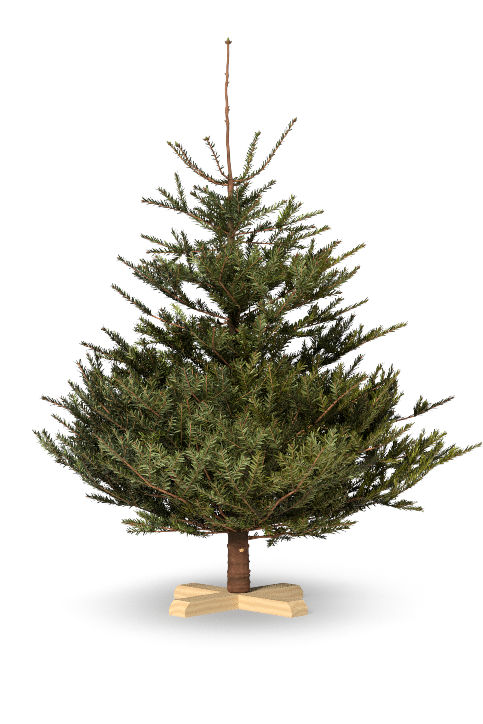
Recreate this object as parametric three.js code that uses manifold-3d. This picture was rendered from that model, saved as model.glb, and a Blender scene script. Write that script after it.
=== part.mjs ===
// A cut Christmas fir on a plain timber cross stand, in millimetres, +Z up.
//
// The trunk runs whole from its flat cut to the bud on the long leader. Tiers of boughs leave it
// on all sides and rise towards their tips, and each one ends where it enters its own fan of
// foliage. The fans are flat, pointed pads with swept lateral tips, kept clear of each other.
// +X is the crown's right, -Y its front, and the origin is under the trunk on the stand's flat
// underside.
import * as THREE from "three";
import { mergeVertices } from "three/addons/utils/BufferGeometryUtils.js";
import Module from "manifold-3d";

const wasm = await Module();
wasm.setup();

// Stand: two boards halved into each other, with sawn sloping ends.
const BOARD_LENGTH = 540;
const BOARD_WIDTH = 74;
const BOARD_HEIGHT = 46;
const BOARD_END_SLOPE = 20; // how far the upper edge of an end is set back
const STAND_TURN = 45; // degrees, so that an arm points between each two sides
const CLEARANCE = 0.3; // between faces that touch

// Trunk, by height above its cut foot.
const TREE_HEIGHT = 1800;
const TRUNK_SIDES = 12;
const TOP_WHORL = 1326;
const WHORL_RADIUS = 8.5; // trunk radius at the top whorl
const TAPER = 0.0213; // radius gained for each millimetre below the top whorl
const FLARE = 3.5; // extra radius at the very foot
const FLARE_HEIGHT = 45; // height over which the flare fades
const FOOT_ROUNDING = 5; // how much the edge of the cut is rounded off
const LEADER_FOOT_RADIUS = 5.6;
const LEADER_TIP_RADIUS = 3.2;
const BUD_LENGTH = 24;
const BUD_RADIUS = 9;
// The axis leans a little and wavers along the leader: [height, sideways, backwards].
const AXIS = [
  [0, 0, 0],
  [520, -6, 4],
  [1110, -24, 0],
  [TOP_WHORL, -26, -3],
  [1520, -38, 0],
  [1660, -37, 3],
  [TREE_HEIGHT, -33, 0],
];

// Boughs and their foliage. root is the height above the cut foot, curl the power by which a
// bough climbs, stem its radius at the trunk and where it enters the foliage, start the share of
// the reach at which the foliage begins, spread its half-width, and over and under its thickness
// above and below the bough, all as shares of the reach. Each bough has its azimuth in degrees
// from +X towards the back, its reach from the trunk's axis and its rise to the tip.
const TIERS = [
  {
    name: "top",
    root: TOP_WHORL,
    curl: 2.5,
    stem: [4.4, 2.8],
    bare: true,
    boughs: [
      { side: "right", azimuth: 2, reach: 196, rise: 184 },
      { side: "back_right", azimuth: 62, reach: 156, rise: 174 },
      { side: "back_left", azimuth: 155, reach: 210, rise: 124 },
      { side: "left", azimuth: 203, reach: 172, rise: 108 },
      { side: "front", azimuth: 246, reach: 180, rise: 100, curl: 1.2 },
    ],
  },
  {
    name: "second",
    root: 1148,
    curl: 1.15,
    stem: [5.4, 4],
    start: 0.24,
    spread: 0.36,
    over: 0.1,
    under: 0.15,
    boughs: [
      { side: "right", azimuth: 8, reach: 292, rise: 92 },
      { side: "back", azimuth: 100, reach: 268, rise: 96 },
      { side: "left", azimuth: 199, reach: 284, rise: 112 },
      { side: "front", azimuth: 290, reach: 232, rise: 106 },
    ],
  },
  {
    name: "between",
    root: 1066,
    curl: 1.1,
    start: 0.12,
    spread: 0.24,
    over: 0.085,
    under: 0.125,
    boughs: [
      { side: "right", azimuth: 352, reach: 306, rise: 112 },
      { side: "left", azimuth: 162, reach: 304, rise: 108 },
    ],
  },
  {
    name: "third",
    root: 866,
    curl: 1.15,
    stem: [7, 5.4],
    start: 0.3,
    spread: 0.4,
    over: 0.11,
    under: 0.165,
    boughs: [
      { side: "right", azimuth: 340, reach: 424, rise: 246 },
      { side: "back", azimuth: 78, reach: 392, rise: 214 },
      { side: "left", azimuth: 199, reach: 372, rise: 206 },
      { side: "front", azimuth: 266, reach: 346, rise: 204 },
    ],
  },
  {
    name: "middle",
    root: 778,
    curl: 1.2,
    start: 0.1,
    spread: 0.36,
    over: 0.095,
    under: 0.14,
    boughs: [
      { side: "right", azimuth: 12, reach: 436, rise: 168 },
      { side: "back", azimuth: 120, reach: 418, rise: 176 },
      { side: "left", azimuth: 170, reach: 398, rise: 214 },
      { side: "front", azimuth: 296, reach: 400, rise: 190 },
    ],
  },
  {
    name: "fourth",
    root: 632,
    curl: 1.25,
    stem: [8, 6.4],
    start: 0.2,
    spread: 0.42,
    over: 0.145,
    under: 0.21,
    boughs: [
      { side: "right", azimuth: 357, reach: 540, rise: 236 },
      { side: "back", azimuth: 92, reach: 520, rise: 214 },
      { side: "left", azimuth: 184, reach: 484, rise: 172 },
      { side: "front", azimuth: 262, reach: 478, rise: 226 },
    ],
  },
  {
    name: "fifth",
    root: 424,
    curl: 1.3,
    stem: [8.6, 6.8],
    start: 0.18,
    spread: 0.42,
    over: 0.155,
    under: 0.225,
    boughs: [
      { side: "right", azimuth: 4, reach: 702, rise: 206 },
      { side: "back", azimuth: 84, reach: 640, rise: 220 },
      { side: "left", azimuth: 172, reach: 642, rise: 204 },
      { side: "front_left", azimuth: 236, reach: 634, rise: 292 },
      { side: "front_right", azimuth: 306, reach: 622, rise: 280 },
    ],
  },
  {
    name: "lowest",
    root: 196,
    curl: 1.6,
    stem: [9, 7],
    start: 0.2,
    spread: 0.36,
    over: 0.19,
    under: 0.075,
    boughs: [
      { side: "right", azimuth: 357, reach: 772, rise: 282 },
      { side: "back_right", azimuth: 56, reach: 668, rise: 254 },
      { side: "back_left", azimuth: 118, reach: 654, rise: 262 },
      { side: "left", azimuth: 181, reach: 604, rise: 288 },
      { side: "front_left", azimuth: 232, reach: 652, rise: 330 },
      { side: "front_right", azimuth: 292, reach: 636, rise: 316 },
    ],
  },
];
const STAGGER = 6; // boughs of one tier leave the trunk this much above or below its root, in turn
const BOUGH_SIDES = 6;
const BOUGH_STEPS = 3;
const SHOOT_BUD_RADIUS = 6.5; // the bud cluster that ends a bare shoot
const FAN_RINGS = 11;
const FAN_SIDES = 8;
const FAN_TIP = 11; // half-width of a fan's pointed end, as wide as one needled shoot
const FAN_INNER = 0.3; // half-width of its inner end, as a share of the full half-width
const TOOTH = 0.34; // how far a gap between two lateral tips cuts into the fan's edge
const SWEEP = 0.42; // how far lateral tips point forwards, as a share of their distance out
const UNEVENNESS = 0.12;
const FAN_GAP = 2.5; // room kept round everything a fan is cut by

const BARK = new THREE.MeshStandardMaterial({ color: 0x73503a, roughness: 0.95 });
const TWIG = new THREE.MeshStandardMaterial({ color: 0x9a6440, roughness: 0.8 });
const NEEDLES = new THREE.MeshStandardMaterial({ color: 0x2f4420, roughness: 0.7 });
const TIMBER = new THREE.MeshStandardMaterial({ color: 0xc9a878, roughness: 0.75 });

const UP = new THREE.Vector3(0, 0, 1);
const lerp = THREE.MathUtils.lerp;

// A repeatable number from -1 to 1 for each pair of whole numbers.
function unevenness(a, b) {
  const wave = Math.sin(a * 12.9898 + b * 78.233) * 43758.5453;
  return 2 * (wave - Math.floor(wave)) - 1;
}

// A closed skin over rings of points, each ring with the same number of points.
function skin(rings) {
  const sides = rings[0].length;
  const centre = (ring) =>
    ring.reduce((sum, p) => sum.add(p), new THREE.Vector3()).divideScalar(ring.length);
  const points = [...rings.flat(), centre(rings[0]), centre(rings.at(-1))];
  const first = points.length - 2;
  const last = points.length - 1;
  const index = [];
  for (let j = 0; j < sides; j++) {
    const next = (j + 1) % sides;
    for (let i = 0; i + 1 < rings.length; i++) {
      const [a, b] = [i * sides + j, i * sides + next];
      index.push(a, b, b + sides, a, b + sides, a + sides);
    }
    const end = (rings.length - 1) * sides;
    index.push(first, next, j, last, end + j, end + next);
  }
  return new THREE.BufferGeometry().setFromPoints(points).setIndex(index);
}

// A ring of points round a centre, across the given side and up directions.
function ring(centre, side, up, radius, sides) {
  return Array.from({ length: sides }, (_, j) => {
    const turn = (2 * Math.PI * j) / sides;
    return centre
      .clone()
      .addScaledVector(side, radius * Math.cos(turn))
      .addScaledVector(up, radius * Math.sin(turn));
  });
}

// Solids for cutting, and back again.
function toSolid(geometry) {
  const merged = mergeVertices(geometry, 1e-3);
  return new wasm.Manifold(
    new wasm.Mesh({
      numProp: 3,
      vertProperties: merged.attributes.position.array,
      triVerts: new Uint32Array(merged.index.array),
    }),
  );
}

function toGeometry(solid) {
  const { vertProperties, triVerts } = solid.getMesh();
  return new THREE.BufferGeometry()
    .setAttribute("position", new THREE.BufferAttribute(vertProperties, 3))
    .setIndex(new THREE.BufferAttribute(triVerts, 1));
}

const largest = (solid) =>
  solid.decompose().reduce((best, piece) => (piece.volume() > best.volume() ? piece : best));

const trunkAxis = new THREE.CatmullRomCurve3(
  AXIS.map(([height, sideways, backwards]) => new THREE.Vector3(sideways, backwards, height)),
);

// The point of the trunk's axis at a height above the cut, by halving the curve's span.
function axisAt(height) {
  let [low, high] = [0, 1];
  for (let i = 0; i < 24; i++) {
    const middle = (low + high) / 2;
    if (trunkAxis.getPoint(middle).z < height) low = middle;
    else high = middle;
  }
  return trunkAxis.getPoint(low).setZ(height);
}

function trunkRadius(height) {
  if (height > TREE_HEIGHT - BUD_LENGTH) {
    const share = (TREE_HEIGHT - height) / BUD_LENGTH;
    return LEADER_TIP_RADIUS * 0.5 + (BUD_RADIUS - LEADER_TIP_RADIUS * 0.5) * Math.sin(Math.PI * share);
  }
  if (height > TOP_WHORL + 20) {
    const share = (height - TOP_WHORL) / (TREE_HEIGHT - TOP_WHORL);
    return lerp(LEADER_FOOT_RADIUS, LEADER_TIP_RADIUS, share);
  }
  const rounding = FOOT_ROUNDING * Math.max(0, 1 - height / FOOT_ROUNDING);
  const flare = FLARE * Math.exp(-height / FLARE_HEIGHT);
  return WHORL_RADIUS + TAPER * (TOP_WHORL - height) + flare - rounding;
}

function trunk(extra = 0) {
  const budHeights = [1, 0.85, 0.6, 0.35, 0.12, 0].map((s) => TREE_HEIGHT - s * BUD_LENGTH);
  const heights = [0, FOOT_ROUNDING, 18, 45, 90];
  for (let height = 180; height < TOP_WHORL; height += 120) heights.push(height);
  heights.push(TOP_WHORL, TOP_WHORL + 30, 1430, 1520, 1600, 1690, ...budHeights);
  return skin(
    heights.map((height) =>
      ring(axisAt(height), new THREE.Vector3(1, 0, 0), new THREE.Vector3(0, 1, 0),
        trunkRadius(height) + extra, TRUNK_SIDES),
    ),
  );
}

// One point of a bough's centreline: straight out along its azimuth, climbing by its tier's curl.
function boughPoint(tier, bough, share) {
  const angle = THREE.MathUtils.degToRad(bough.azimuth);
  const number = tier.boughs.indexOf(bough);
  return axisAt(tier.root + (number % 2 ? -STAGGER : STAGGER)).add(
    new THREE.Vector3(
      Math.cos(angle) * bough.reach * share,
      Math.sin(angle) * bough.reach * share,
      bough.rise * share ** (bough.curl ?? tier.curl),
    ),
  );
}

// The directions along, across and square to a bough at one point.
function boughFrame(tier, bough, share) {
  const step = 0.01;
  const along = boughPoint(tier, bough, share + step)
    .sub(boughPoint(tier, bough, Math.max(0, share - step)))
    .normalize();
  const across = new THREE.Vector3().crossVectors(UP, along).normalize();
  const square = new THREE.Vector3().crossVectors(along, across);
  return { along, across, square };
}

function limb(tier, bough) {
  const end = tier.bare ? 1 : tier.start - CLEARANCE / bough.reach;
  const steps = tier.bare ? 2 * BOUGH_STEPS + 1 : BOUGH_STEPS;
  const rings = [];
  for (let i = 0; i <= steps; i++) {
    const share = (end * i) / steps;
    const { across, square } = boughFrame(tier, bough, share);
    const radius = lerp(...tier.stem, i / steps);
    rings.push(ring(boughPoint(tier, bough, share), across, square, radius, BOUGH_SIDES));
  }
  if (tier.bare) {
    const { along, across, square } = boughFrame(tier, bough, 1);
    for (const [ahead, radius] of [[4, SHOOT_BUD_RADIUS], [10, SHOOT_BUD_RADIUS], [15, 2]]) {
      const centre = boughPoint(tier, bough, 1).addScaledVector(along, ahead);
      rings.push(ring(centre, across, square, radius, BOUGH_SIDES));
    }
  }
  return skin(rings);
}

// A fan of foliage: a lens-shaped section carried along the bough. Every second ring is a pair of
// lateral tips and the rings between are the gaps, and the edges are swept towards the tip.
function fan(tier, bough, seed, extra = 0) {
  const spread = tier.spread * bough.reach;
  const rings = [];
  for (let i = 0; i <= FAN_RINGS; i++) {
    const along = i / FAN_RINGS;
    const share = lerp(tier.start, 1, along);
    const frame = boughFrame(tier, bough, share);
    const swell = Math.sin(Math.PI * along ** 0.75) ** 0.85;
    const tooth = i % 2 === 1 ? 1 : 1 - TOOTH;
    const width = i === FAN_RINGS ? FAN_TIP : Math.max(FAN_INNER, swell) * tooth * spread;
    const thickness = (share) =>
      i === FAN_RINGS ? FAN_TIP : Math.max(FAN_INNER, swell) * share * bough.reach + FAN_TIP * along;
    rings.push(
      Array.from({ length: FAN_SIDES }, (_, j) => {
        const turn = (2 * Math.PI * j) / FAN_SIDES;
        const scale = 1 + UNEVENNESS * unevenness(seed + i, j);
        const out = (width * scale + extra) * Math.cos(turn);
        const height = thickness(Math.sin(turn) < 0 ? tier.under : tier.over);
        const lift = (height * scale + extra) * Math.sin(turn);
        const ahead = SWEEP * Math.abs(out) * swell * (1 - along);
        const ends = i === 0 ? -extra : i === FAN_RINGS ? extra : 0;
        return boughPoint(tier, bough, share)
          .addScaledVector(frame.across, out)
          .addScaledVector(frame.square, lift)
          .addScaledVector(frame.along, ahead + ends);
      }),
    );
  }
  return skin(rings);
}

// One board of the stand, as a side profile extruded across its width, with its halving cut away.
function board(lapAbove) {
  const half = BOARD_LENGTH / 2;
  const lap = BOARD_WIDTH / 2 + CLEARANCE;
  const middle = BOARD_HEIGHT / 2 + (lapAbove ? CLEARANCE : -CLEARANCE) / 2;
  const profile = new THREE.Shape();
  profile.moveTo(-half, 0);
  if (lapAbove) {
    profile.lineTo(-lap, 0).lineTo(-lap, middle).lineTo(lap, middle).lineTo(lap, 0);
  }
  profile.lineTo(half, 0).lineTo(half, BOARD_HEIGHT / 2);
  profile.lineTo(half - BOARD_END_SLOPE, BOARD_HEIGHT);
  if (!lapAbove) {
    profile.lineTo(lap, BOARD_HEIGHT).lineTo(lap, middle).lineTo(-lap, middle);
    profile.lineTo(-lap, BOARD_HEIGHT);
  }
  profile.lineTo(BOARD_END_SLOPE - half, BOARD_HEIGHT).lineTo(-half, BOARD_HEIGHT / 2);
  const geometry = new THREE.ExtrudeGeometry(profile, { depth: BOARD_WIDTH, bevelEnabled: false });
  geometry.deleteAttribute("normal");
  geometry.deleteAttribute("uv");
  return geometry.translate(0, 0, -BOARD_WIDTH / 2).rotateX(Math.PI / 2);
}

function named(name, geometry, material) {
  const mesh = new THREE.Mesh(geometry, material);
  mesh.name = name;
  return mesh;
}

const tree = new THREE.Group();
tree.position.z = BOARD_HEIGHT + CLEARANCE;
tree.add(named("trunk", trunk(), BARK));

// Fans are made from the top tier down, and each is cut by what is already there.
const trunkCutter = toSolid(trunk(CLEARANCE));
const fanCutters = [toSolid(trunk(FAN_GAP))];
TIERS.forEach((tier, tierNumber) => {
  for (const bough of tier.boughs) {
    if (!tier.stem) continue;
    const name = `bough_${tier.name}_${bough.side}`;
    const solid = toSolid(limb(tier, bough)).subtract(trunkCutter);
    tree.add(named(name, toGeometry(largest(solid)), TWIG));
    fanCutters.push(solid);
  }
  tier.boughs.forEach((bough, number) => {
    if (tier.bare) return;
    const seed = 31 * tierNumber + 7 * number;
    const solid = fanCutters.reduce((left, cutter) => left.subtract(cutter), toSolid(fan(tier, bough, seed)));
    const name = `foliage_${tier.name}_${bough.side}`;
    tree.add(named(name, toGeometry(largest(solid)), NEEDLES));
    fanCutters.push(toSolid(fan(tier, bough, seed, FAN_GAP)));
  });
});

const stand = new THREE.Group();
stand.rotation.z = THREE.MathUtils.degToRad(STAND_TURN);
stand.add(named("stand_lower_board", board(false), TIMBER));
const upperBoard = named("stand_upper_board", board(true), TIMBER);
upperBoard.rotation.z = Math.PI / 2;
stand.add(upperBoard);

const model = new THREE.Group();
model.add(tree, stand);

export default model;
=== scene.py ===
import math

import bpy
import numpy as np
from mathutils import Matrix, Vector


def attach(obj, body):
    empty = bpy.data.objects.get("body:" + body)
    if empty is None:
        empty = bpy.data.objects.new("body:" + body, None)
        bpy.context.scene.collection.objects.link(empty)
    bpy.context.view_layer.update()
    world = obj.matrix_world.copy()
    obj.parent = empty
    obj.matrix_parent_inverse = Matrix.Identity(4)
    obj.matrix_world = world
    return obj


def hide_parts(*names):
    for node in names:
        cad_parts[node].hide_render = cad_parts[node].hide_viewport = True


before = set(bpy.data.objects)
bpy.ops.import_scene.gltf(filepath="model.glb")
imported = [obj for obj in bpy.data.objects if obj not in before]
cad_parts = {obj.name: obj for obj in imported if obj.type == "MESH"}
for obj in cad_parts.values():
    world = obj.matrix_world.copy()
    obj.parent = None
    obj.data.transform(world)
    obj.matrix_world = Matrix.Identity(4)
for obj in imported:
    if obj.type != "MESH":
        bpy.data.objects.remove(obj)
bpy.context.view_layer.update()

SKY = np.array([0.0, 0.0, 1.0])

# ---------------------------------------------------------------- driving values
CROWN_SEED = 3  # of the branching rule; each bough adds its own number to it
NEEDLE_SEED = 9  # of the unevenness of needles, twigs and buds
COLOUR_SEED = 77
BARK_SEED = 3
LEADER_SEED = 8

NEEDLE_COUNT = 158_000
NEEDLE_LENGTH = 0.026
NEEDLE_WIDTH = 0.0044
NEEDLE_TIP_WIDTH = 0.0027
NEEDLE_THICKNESS = 0.0009
NEEDLE_ANGLE = math.radians(57)  # between a needle and its shoot, half way along
NEEDLED = np.array([1.0, 0.85, 0.6, 0.38, 0.22, 0.1, 0.03, 0.0])  # share still held, by age
NEEDLE_TRIANGLES = 4
# the most that one joined piece may hold
PIECE_TRIANGLES = 190_000  # about the most triangles that the script puts in one joined piece
GROUP_ROOM = 1.06  # room in it for needles past the expected number

# How far the needles of each layer stand up out of the spray's plane, or hang below it, and their
# length against the flat ones'. Two steps along a shoot hold one needle of each layer on each side.
LAYER_TILT = np.array([-0.04, 0.42, 1.1, -0.5, 0.75])
LAYER_LENGTH = np.array([1.0, 0.95, 0.8, 0.8, 0.88])

TWIG_TIP = 0.0013  # radius of a shoot just under its bud
TWIG_YEAR = 0.0006  # radius a side branch gains in a year
LIMB_TIP = TWIG_TIP + 0.0005  # radius of a main bough just under its bud
LIMB_YEAR = 0.0006  # radius a main bough gains in a year
LIMB_SHOOT = 0.118  # a year's shoot on a limb that has no nodes of its own
LIMB_SWAY = (0.017, 0.011)  # how far the ends of its shoots stray sideways and up or down
LIMB_UNEVEN = 0.035  # how uneven its radius is, as a share
SMALL_SHOOT = (0.04, 0.065)  # the shortest and longest of the small shoots between whorls
BUD_LENGTH = 0.0085
BUD_GIRTH = 0.0028  # a bud's radius where it is thickest

SIDE_ANGLE = math.radians(43)  # between a side branch and the shoot that it leaves
SIDE_YEARS = (9, 4, 2, 1)  # the most years of a branch, by its rank
SIDE_LENGTH = (1.0, 1.0, 0.86, 0.7)  # its shoots against the tier's side shoots
SIDE_CHANCE = (1.0, 0.94, 0.78, 0.28)  # the chance that a side branch grows at all
SIDE_EXTRA = 0.25  # the chance of a third one at a node of a side branch
WANDER = 0.08  # how much each year's shoot turns at random

# Each tier's boughs: how many years old they are, the length of a year's shoot on their side
# branches, how much each year's shoot turns to the sky, the chance of a third side branch at a
# node, the share of a bough without side branches, how many fillers grow between the tier and the
# next one down, and how much painted light its sprays get against the rest, painted shade where
# it is below 0.
TIER_FACTS = ("years", "side", "lift", "extra", "bare", "fillers", "light")
TIERS = {name: dict(zip(TIER_FACTS, row)) for name, row in {
    "top": (1, 0.06, 0.00, 0.0, 0.00, 0, 0.00),
    "second": (2, 0.14, 0.45, 1.0, 0.00, 0, 0.20),
    "between": (2, 0.11, 0.10, 0.6, 0.00, 4, 0.20),
    "third": (3, 0.12, 0.30, 0.5, 0.00, 1, 0.15),
    "middle": (3, 0.11, 0.20, 0.3, 0.00, 1, 0.00),
    "fourth": (4, 0.11, 0.20, 0.4, 0.10, 4, -0.15),
    "fifth": (5, 0.11, 0.30, 0.4, 0.15, 7, 0.05),
    "lowest": (6, 0.12, 0.20, 0.4, 0.15, 0, 0.25),
    "rising": (6, 0.12, 0.20, 0.4, 0.35, 0, 0.18),
    "skirt": (4, 0.10, 0.10, 0.0, 0.35, 0, 0.30),
}.items()}
# Boughs that leave the lowest whorls and rise through the crown: azimuth, reach and rise.
RISING = ((212, 0.57, 0.53), (249, 0.44, 0.46), (274, 0.40, 0.40), (297, 0.45, 0.48),
          (331, 0.56, 0.50), (22, 0.52, 0.52), (78, 0.50, 0.46), (140, 0.52, 0.50),
          (188, 0.59, 0.36), (170, 0.52, 0.30))
# Single limbs low on the front: azimuth, height of the foot above the cut, reach, rise and how much
# of the climb is left to the limb's end.
LOOSE = ((346, 0.172, 0.30, 0.15, 1.6), (293, 0.325, 0.25, -0.11, 0.5),
         (262, 0.27, 0.24, 0.02, 0.5), (225, 0.30, 0.26, 0.02, 0.5))
# The same for the limbs under the two longest of the lowest boughs and for one on the front.
FILLING = ((352, 0.180, 0.45, 0.14, 1.2), (174, 0.190, 0.46, 0.145, 1.0),
           (284, 0.30, 0.47, 0.27, 0.9))
RISING_BOW = 0.55  # how much of the climb is left to the end of a rising bough
# Short level boughs under the lowest whorl, evenly round the trunk: reach and rise of each.
SKIRT = ((0.50, 0.11), (0.42, 0.05), (0.42, 0.04), (0.40, 0.03), (0.38, 0.02), (0.40, 0.05),
         (0.33, 0.13), (0.33, 0.12), (0.42, 0.05))
SKIRT_HEIGHT = 0.196  # of the skirt's feet above the trunk's cut
SKIRT_BOW = 0.7
# Boughs with a longer bare limb than their tier's: the share of it without side branches.
LIMB_SHOWN = {"lowest_front_left": 0.42, "rising_loose": 0.5}
SPREAD = {"second_front": 1.65}  # boughs whose side branches stand out wider
# The share of its needles that each bough of the top whorl holds, and their length there against
# that further down.
TOP_HELD = {"right": 0.85, "back_right": 0.85, "back_left": 0.75, "left": 0.7, "front": 0.3}
TOP_NEEDLE = 0.76
TOP_PARTS = 4  # the parts that a long shoot of the top whorl is made of
# What a main bough holds inside its newest shoot, against a side branch of the same age.
LIMB_HELD = 0.3
LIMB_FRINGED = {"lowest_right": 3.0, "lowest_left": 2.0}
# Small branches from the trunk between the whorls, most of them just under the top whorl or on the
# front lower down: azimuth, height of the foot above the cut, reach and rise.
INTERNODE = ((184, 1.262, 0.125, 0.062), (197, 1.232, 0.150, 0.058), (214, 1.210, 0.115, 0.03),
             (350, 1.246, 0.140, 0.086), (322, 1.225, 0.120, 0.05), (262, 1.205, 0.120, 0.075),
             (290, 1.235, 0.115, 0.065), (40, 1.215, 0.130, 0.06), (76, 1.246, 0.120, 0.07),
             (118, 1.220, 0.130, 0.06), (150, 1.200, 0.125, 0.04), (10, 1.200, 0.110, 0.03),
             (255, 1.03, 0.20, 0.10), (290, 0.96, 0.20, 0.10), (240, 0.92, 0.22, 0.10),
             (275, 0.86, 0.22, 0.12), (305, 0.82, 0.20, 0.08), (262, 0.75, 0.26, 0.12),
             (285, 0.69, 0.26, 0.14), (232, 0.72, 0.26, 0.10))
INTERNODE_SHOOT = 0.12  # about how long a year's shoot is on them
# How many more small branches leave the trunk in even steps round each whorl.
INNER = {"between": 3, "third": 3, "middle": 3, "fourth": 4, "fifth": 5, "lowest": 5}
INNER_SHOOT = 0.1  # about how long a year's shoot is on them
# The leader's side buds: height above the cut and the azimuth that they face.
LEADER_BUDS = ((1.678, 180), (1.650, 10), (1.570, 340), (1.560, 25), (1.524, 175))

WHITE = (1.0, 1.0, 1.0, 1.0)
STAGE_SIDES = 64
VIEW_DISTANCE = 4.8
VIEW_HEIGHT = 2.348  # of the upright plane through the trunk that the view holds

# What the growth knows of each shoot. It follows a parabola from start to end, towards bend.
SHOOT = np.dtype([
    ("start", float, 3), ("bend", float, 3), ("end", float, 3), ("up", float, 3),
    ("foot", float), ("tip", float), ("age", int), ("rank", int), ("bough", int),
    ("spray", int), ("held", float), ("last", bool), ("needle", float),
])


# ---------------------------------------------------------------- directions, curves and waves
def unit(vectors):
    """Each vector divided by its own length."""
    return vectors / np.maximum(np.linalg.norm(vectors, axis=-1, keepdims=True), 1e-12)


def compass(azimuth):
    """The level direction at an azimuth."""
    return np.array([math.cos(azimuth), math.sin(azimuth), 0.0])


def upright(heading):
    """The direction square to a heading that is nearest to the sky."""
    return unit(SKY - (SKY @ heading) * heading)


def circle(steps):
    """Even turns round a full circle."""
    return np.linspace(0, 2 * math.pi, steps, endpoint=False)


def parabola(start, bend, end, t):
    """The point at t of the parabola (1-t)^2 start + 2t(1-t) bend + t^2 end."""
    return (1 - t) ** 2 * start + 2 * t * (1 - t) * bend + t * t * end


def smooth(low, high, value):
    """0 below low, 1 above high, and the cubic 3t^2 - 2t^3 between."""
    t = np.clip((value - low) / (high - low), 0, 1)
    return t * t * (3 - 2 * t)


def bell(value, width):
    """A bell curve: 1 at 0, falling off as e to the minus (value / width) squared."""
    return np.exp(-(value / width) ** 2)


def waves(rng, count, *coordinates):
    """A repeatable uneven field from about -1 to 1: a sum of count sine waves, each of a random
    direction, pitch and phase over the coordinates, with the finer waves smaller."""
    total = np.zeros(np.broadcast(*coordinates).shape)
    for number in range(count):
        pitch = 1.7 ** number
        phase = rng.uniform(0, 2 * math.pi)
        mix = rng.normal(0, 1, len(coordinates))
        mix /= np.linalg.norm(mix)
        total += np.sin(pitch * sum(m * c for m, c in zip(mix, coordinates)) + phase) / pitch ** 0.7
    return total / sum(1.7 ** (-0.7 * n) for n in range(count))


# ---------------------------------------------------------------- meshes from arrays
def add_mesh(name, points, faces, materials, choice=None, smooth_shaded=False):
    """One object at the origin from an array of points and an array of triangles or quads."""
    mesh = bpy.data.meshes.new(name)
    points = np.asarray(points, np.float32).reshape(-1, 3)
    corners = faces.shape[1]
    mesh.vertices.add(len(points))
    mesh.vertices.foreach_set("co", points.ravel())
    mesh.loops.add(faces.size)
    mesh.loops.foreach_set("vertex_index", faces.astype(np.int32).ravel())
    mesh.polygons.add(len(faces))
    mesh.polygons.foreach_set("loop_start", np.arange(0, faces.size, corners, dtype=np.int32))
    for material in materials:
        mesh.materials.append(material)
    if choice is not None:
        mesh.polygons.foreach_set("material_index", np.asarray(choice, np.int32))
    mesh.polygons.foreach_set("use_smooth", np.full(len(faces), smooth_shaded))
    mesh.update(calc_edges=True)
    piece = bpy.data.objects.new(name, mesh)
    bpy.context.scene.collection.objects.link(piece)
    return piece


def finish_piece(piece, nodes=()):
    """The piece rides on the one body and stands for the nodes, which it hides."""
    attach(piece, "root")
    if nodes:
        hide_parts(*nodes)


def grid_faces(rows, columns):
    """Quads over a grid that closes on itself across its columns, seen from outside."""
    row, column = np.meshgrid(np.arange(rows - 1), np.arange(columns), indexing="ij")
    here = row * columns + column
    beside = row * columns + (column + 1) % columns
    return np.stack([here, beside, beside + columns, here + columns], -1).reshape(-1, 4)


def closed_tubes(rings):
    """Points and triangles of many closed tubes at once. rings is tubes x rings x sides x 3; each
    end is closed by a fan round its first point."""
    tubes, rows, sides = rings.shape[:3]
    quads = grid_faces(rows, sides)
    walls = np.concatenate([quads[:, [0, 1, 2]], quads[:, [0, 2, 3]]])
    fan = np.arange(1, sides - 1)
    foot = np.stack([0 * fan, fan + 1, fan], -1)
    end = np.stack([0 * fan, fan, fan + 1], -1) + (rows - 1) * sides
    one = np.concatenate([walls, foot, end])
    offset = np.arange(tubes)[:, None, None] * rows * sides
    return rings.reshape(-1, 3), (one[None] + offset).reshape(-1, 3)


def add_tubes(name, points, faces, kinds, materials):
    """A smooth piece of many closed tubes. kinds says which of the materials each tube has."""
    choice = np.repeat(kinds, len(faces) // len(kinds))
    return add_mesh(name, points, faces, materials, choice, True)


def add_tube(name, rings, material):
    """A smooth piece of one closed tube."""
    return add_tubes(name, *closed_tubes(rings[None]), [0], [material])


# ---------------------------------------------------------------- the frame's lines
def vertices(node):
    """All the vertices of a CAD node, as an array."""
    flat = np.zeros(len(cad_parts[node].data.vertices) * 3, np.float32)
    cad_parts[node].data.vertices.foreach_get("co", flat)
    return flat.reshape(-1, 3).astype(float)


class TrunkLine:
    """The trunk's axis and radius by height. Each ring of the trunk node is level, so its box
    gives its centre and its radius, and heights between rings are interpolated."""

    def __init__(self):
        cloud = vertices("trunk")
        levels = np.unique(np.round(cloud[:, 2], 4))
        rings = [cloud[np.abs(cloud[:, 2] - level) < 2e-4] for level in levels]
        boxes = np.array([[ring.min(0), ring.max(0)] for ring in rings])
        self.heights = levels
        self.centres = boxes.mean(1)
        self.radii = (boxes[:, 1, 0] - boxes[:, 0, 0]) / 2

    def axis(self, height):
        """The axis' point at each height."""
        across = np.interp(height, self.heights, self.centres[:, 0])
        back = np.interp(height, self.heights, self.centres[:, 1])
        return np.stack([across, back, height + 0 * across], -1)

    def radius(self, height):
        """The radius at each height."""
        return np.interp(height, self.heights, self.radii)


class BoughLine:
    """The line that a main bough follows from the trunk's axis to its tip: straight out along its
    direction, while its height climbs by a polynomial of the share of its reach."""

    def __init__(self, tier, side, nodes, foot, out, reach, climb):
        self.tier = tier
        self.side = side
        self.name = f"{tier}_{side}"
        self.nodes = nodes
        self.foot = foot
        self.out = out
        self.across = np.cross(SKY, out)
        self.reach = reach
        self.climb = climb

    def length(self):
        """The straight distance from the foot to the tip."""
        return math.hypot(self.reach, np.polyval(self.climb, 1.0))

    def point(self, share):
        """The line's points at an array of shares of the reach."""
        share = np.asarray(share, float)[..., None]
        return self.foot + share * self.reach * self.out + np.polyval(self.climb, share) * SKY


def of_tier(lines, tier):
    """The numbers of a tier's lines."""
    return [n for n, line in enumerate(lines) if line.tier == tier]


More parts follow.
